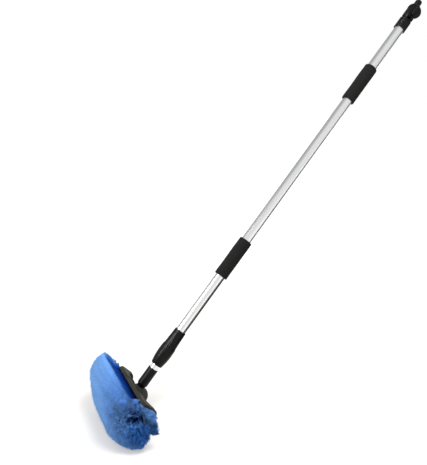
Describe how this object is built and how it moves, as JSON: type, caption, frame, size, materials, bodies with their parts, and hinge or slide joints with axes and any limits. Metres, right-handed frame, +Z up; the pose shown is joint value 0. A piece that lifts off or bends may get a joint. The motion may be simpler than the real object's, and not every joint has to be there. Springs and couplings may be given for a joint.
{
  "type": "car wash brush",
  "caption": "Telescopic flow-through wash brush: flared soft bristle head on an angled socket, twist-lock aluminium pole, foam grips, on/off valve and hose nipple.",
  "frame": {"origin": "middle of the lower hand grip, on the pole's axis", "axes": "held pose: +X along the brush head's long side, +Z up, and the pole rises towards +Y at 48 degrees over the ground; the working face of the bristles looks towards -Y"},
  "size_m": [0.2536, 0.9359, 1.0174],
  "materials": {
    "aluminium_tube": "satin anodised, drawn tube",
    "black_plastic": "moulded, satin to gloss",
    "grip_foam": "closed-cell foam, matt",
    "block_plastic": "moulded, fine grain",
    "bristle": "soft flagged filament",
    "seal_rubber": "moulded",
    "white_plastic": "moulded, low friction",
    "plated_brass": "polished",
    "rivet_steel": "plain"
  },
  "bodies": {
    "pole": {"outer_tube": "aluminium_tube", "lower_grip": "grip_foam", "upper_grip": "grip_foam", "collar": "black_plastic", "valve_body": "black_plastic", "tube_ring": "seal_rubber", "ball_seats": "white_plastic", "stem_ring": "seal_rubber", "hose_nipple": "black_plastic", "nipple_washer": "seal_rubber"},
    "lock_nut": {"lock_nut": "black_plastic", "wiper_seal": "seal_rubber"},
    "clamp": {"clamp_ring": "white_plastic"},
    "brush": {"inner_tube": "aluminium_tube", "piston": "white_plastic", "piston_rings": "seal_rubber", "head_connector": "black_plastic", "connector_ring": "seal_rubber", "connector_rivet": "rivet_steel", "brush_block": "block_plastic", "socket_washer": "seal_rubber", "near_end_bristles": "bristle", "far_end_bristles": "bristle", "lower_side_bristles": "bristle", "upper_side_bristles": "bristle", "middle_bristles": "bristle"},
    "valve": {"valve_knob": "black_plastic", "valve_stem": "white_plastic", "valve_ball": "plated_brass"}
  },
  "joints": [
    {"name": "lock_nut_turn", "type": "hinge", "parent": "pole", "child": "lock_nut", "pos_m": [0, -0.19639, -0.21811], "axis": [0, 0.6691, 0.7431], "range_deg": [0, 90]},
    {"name": "pole_swivel", "type": "hinge", "parent": "pole", "child": "clamp", "pos_m": [0, -0.20074, -0.22294], "axis": [0, 0.6691, 0.7431], "continuous": true},
    {"name": "telescope", "type": "slide", "parent": "clamp", "child": "brush", "axis": [0, -0.6691, -0.7431], "range_m": [-0.01, 0.6]},
    {"name": "valve_turn", "type": "hinge", "parent": "pole", "child": "valve", "pos_m": [0, 0.53933, 0.59899], "axis": [0.9272, -0.2784, 0.2507], "range_deg": [0, 90]}
  ]
}
